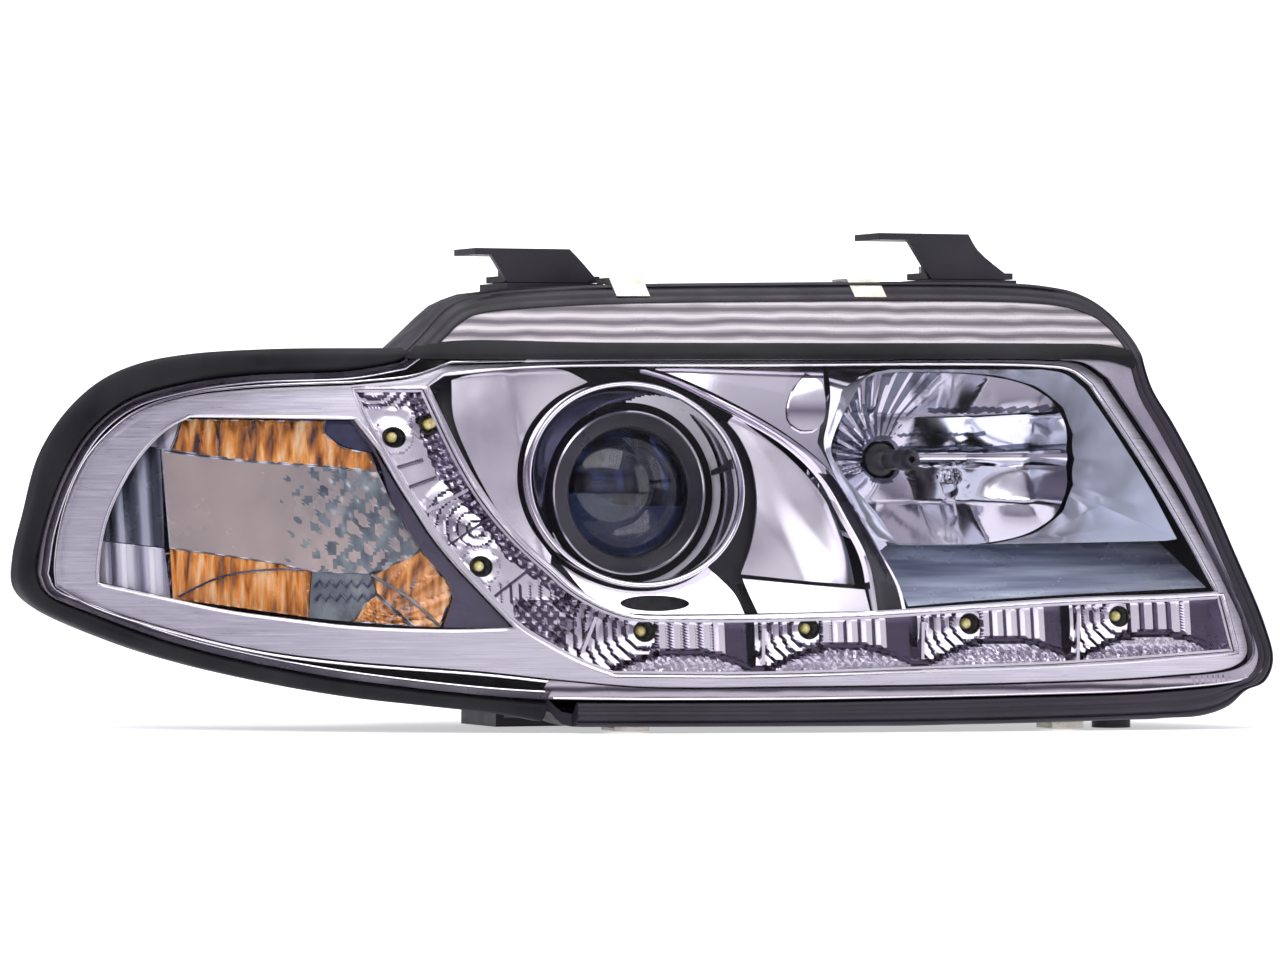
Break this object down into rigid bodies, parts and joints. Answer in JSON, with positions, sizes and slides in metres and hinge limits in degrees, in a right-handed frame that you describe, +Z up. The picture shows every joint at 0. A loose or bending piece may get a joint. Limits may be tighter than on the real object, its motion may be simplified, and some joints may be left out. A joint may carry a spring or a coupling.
{
  "type": "car headlight assembly",
  "caption": "Wrap-around car headlight: clear lens over a projector low beam, reflector high beam, LED strip and corner turn signal, in a black housing with aim screws, bulb caps and brackets.",
  "frame": {"origin": "centre of the bounding box in plan, at the lowest level of the lamp's clips, foot and lower bracket", "axes": "+X from the wrap-around outer corner towards the car's middle, +Y rearwards into the car (light leaves along -Y), +Z up"},
  "size_m": [0.535, 0.2507, 0.23],
  "materials": {
    "black_plastic": "moulded, fine satin grain",
    "clear_lens": "hard-coated clear polycarbonate",
    "black_rubber": "smooth matte elastomer",
    "spring_steel": "zinc-plated spring steel",
    "zinc_steel": "zinc-plated",
    "satin_silver": "satin silver metallised",
    "mirror_chrome": "vacuum-metallised, mirror bright",
    "dark_trim": "dark smoked gloss",
    "board_green": "solder-masked circuit board",
    "led_dome": "water-clear epoxy over a yellow phosphor",
    "amber_lens": "fluted amber",
    "grey_nylon": "natural grey nylon",
    "bulb_glass": "clear",
    "projector_glass": "polished, blue coated"
  },
  "bodies": {
    "lamp_body": {"housing": "black_plastic", "front_lens": "clear_lens", "corner_seal": "black_rubber", "hood_seal": "black_rubber", "lens_clip_1": "spring_steel", "lens_clip_2": "spring_steel", "lens_clip_3": "spring_steel", "lens_clip_4": "spring_steel", "outer_bracket": "black_plastic", "inner_bracket": "black_plastic", "bracket_screw_1": "zinc_steel", "bracket_screw_2": "zinc_steel", "bracket_screw_3": "zinc_steel", "bracket_screw_4": "zinc_steel", "lower_bracket": "black_plastic", "inner_bezel": "satin_silver", "projector_bezel": "mirror_chrome", "projector_ring": "mirror_chrome", "arc_rim": "mirror_chrome", "high_beam_surround": "mirror_chrome", "divider_panel": "dark_trim", "led_tray": "mirror_chrome", "led_board": "board_green", "led_1": "led_dome", "led_2": "led_dome", "led_3": "led_dome", "led_4": "led_dome", "led_5": "led_dome", "led_6": "led_dome", "led_7": "led_dome", "turn_reflector": "mirror_chrome", "turn_inner_lens": "amber_lens", "turn_side_panel": "dark_trim", "pivot_ball": "grey_nylon", "levelling_motor": "black_plastic", "wiring_socket": "black_plastic", "vent_cap": "black_rubber"},
    "pivot_liner": {"pivot_socket": "grey_nylon"},
    "aiming_frame": {"carrier_frame": "black_plastic", "lens_holder": "dark_trim", "projector_lens": "projector_glass", "cutoff_shield": "zinc_steel", "projector_reflector": "mirror_chrome", "low_beam_bulb": "bulb_glass", "high_beam_reflector": "mirror_chrome", "high_beam_bulb": "bulb_glass"},
    "levelling_rod": {"levelling_rod": "grey_nylon"},
    "height_adjuster": {"height_adjuster": "grey_nylon"},
    "side_adjuster_rod": {"side_adjuster_rod": "grey_nylon"},
    "side_adjuster": {"side_adjuster": "grey_nylon"},
    "low_bulb_clip": {"low_bulb_clip": "spring_steel"},
    "high_bulb_clip": {"high_bulb_clip": "spring_steel"},
    "parking_holder": {"parking_bulb_holder": "grey_nylon", "parking_bulb": "bulb_glass"},
    "turn_holder": {"turn_bulb_holder": "grey_nylon", "turn_bulb": "bulb_glass"},
    "low_beam_cap": {"low_beam_cap": "black_rubber"},
    "high_beam_cap": {"high_beam_cap": "black_rubber"}
  },
  "joints": [
    {"name": "aim_vertical", "type": "hinge", "parent": "lamp_body", "child": "pivot_liner", "pos_m": [0.0625, 0.0202, 0.16], "axis": [1, 0, 0], "range_deg": [-2.5, 2.5]},
    {"name": "aim_horizontal", "type": "hinge", "parent": "pivot_liner", "child": "aiming_frame", "pos_m": [0.0625, 0.0202, 0.16], "axis": [0, 0, 1], "range_deg": [-1.5, 1.5]},
    {"name": "levelling_slide", "type": "slide", "parent": "lamp_body", "child": "levelling_rod", "axis": [0, 1, 0], "range_m": [-0.00476, 0.00476]},
    {"name": "height_adjuster_turn", "type": "hinge", "parent": "lamp_body", "child": "height_adjuster", "pos_m": [0.0625, 0.1182, 0.052], "axis": [0, 1, 0], "range_deg": [-856.7, 856.7]},
    {"name": "side_slide", "type": "slide", "parent": "lamp_body", "child": "side_adjuster_rod", "axis": [0, 1, 0], "range_m": [-0.00301, 0.00301]},
    {"name": "side_adjuster_turn", "type": "hinge", "parent": "lamp_body", "child": "side_adjuster", "pos_m": [0.1765, 0.0482, 0.16], "axis": [0, 1, 0], "range_deg": [-542.6, 542.6]},
    {"name": "low_clip_swing", "type": "hinge", "parent": "aiming_frame", "child": "low_bulb_clip", "pos_m": [-0.0115, 0.075, 0.1255], "axis": [1, 0, 0], "range_deg": [0, 70]},
    {"name": "high_clip_swing", "type": "hinge", "parent": "aiming_frame", "child": "high_bulb_clip", "pos_m": [0.1245, 0.018, 0.141], "axis": [1, 0, 0], "range_deg": [0, 70]},
    {"name": "parking_holder_pull", "type": "slide", "parent": "aiming_frame", "child": "parking_holder", "axis": [0, 1, 0], "range_m": [0, 0.014]},
    {"name": "turn_holder_twist", "type": "hinge", "parent": "lamp_body", "child": "turn_holder", "pos_m": [-0.1635, 0.0982, 0.095], "axis": [0, 1, 0], "range_deg": [0, 45]},
    {"name": "low_cap_pull", "type": "slide", "parent": "lamp_body", "child": "low_beam_cap", "axis": [0, 1, 0], "range_m": [0, 0.035]},
    {"name": "high_cap_pull", "type": "slide", "parent": "lamp_body", "child": "high_beam_cap", "axis": [0, 1, 0], "range_m": [0, 0.03]}
  ],
  "couplings": [
    {"joint": "levelling_slide", "follows": "aim_vertical", "m_per_rad": 0.108},
    {"joint": "height_adjuster_turn", "follows": "aim_vertical", "ratio": 339.29},
    {"joint": "side_slide", "follows": "aim_horizontal", "m_per_rad": 0.114},
    {"joint": "side_adjuster_turn", "follows": "aim_horizontal", "ratio": 358.14}
  ]
}
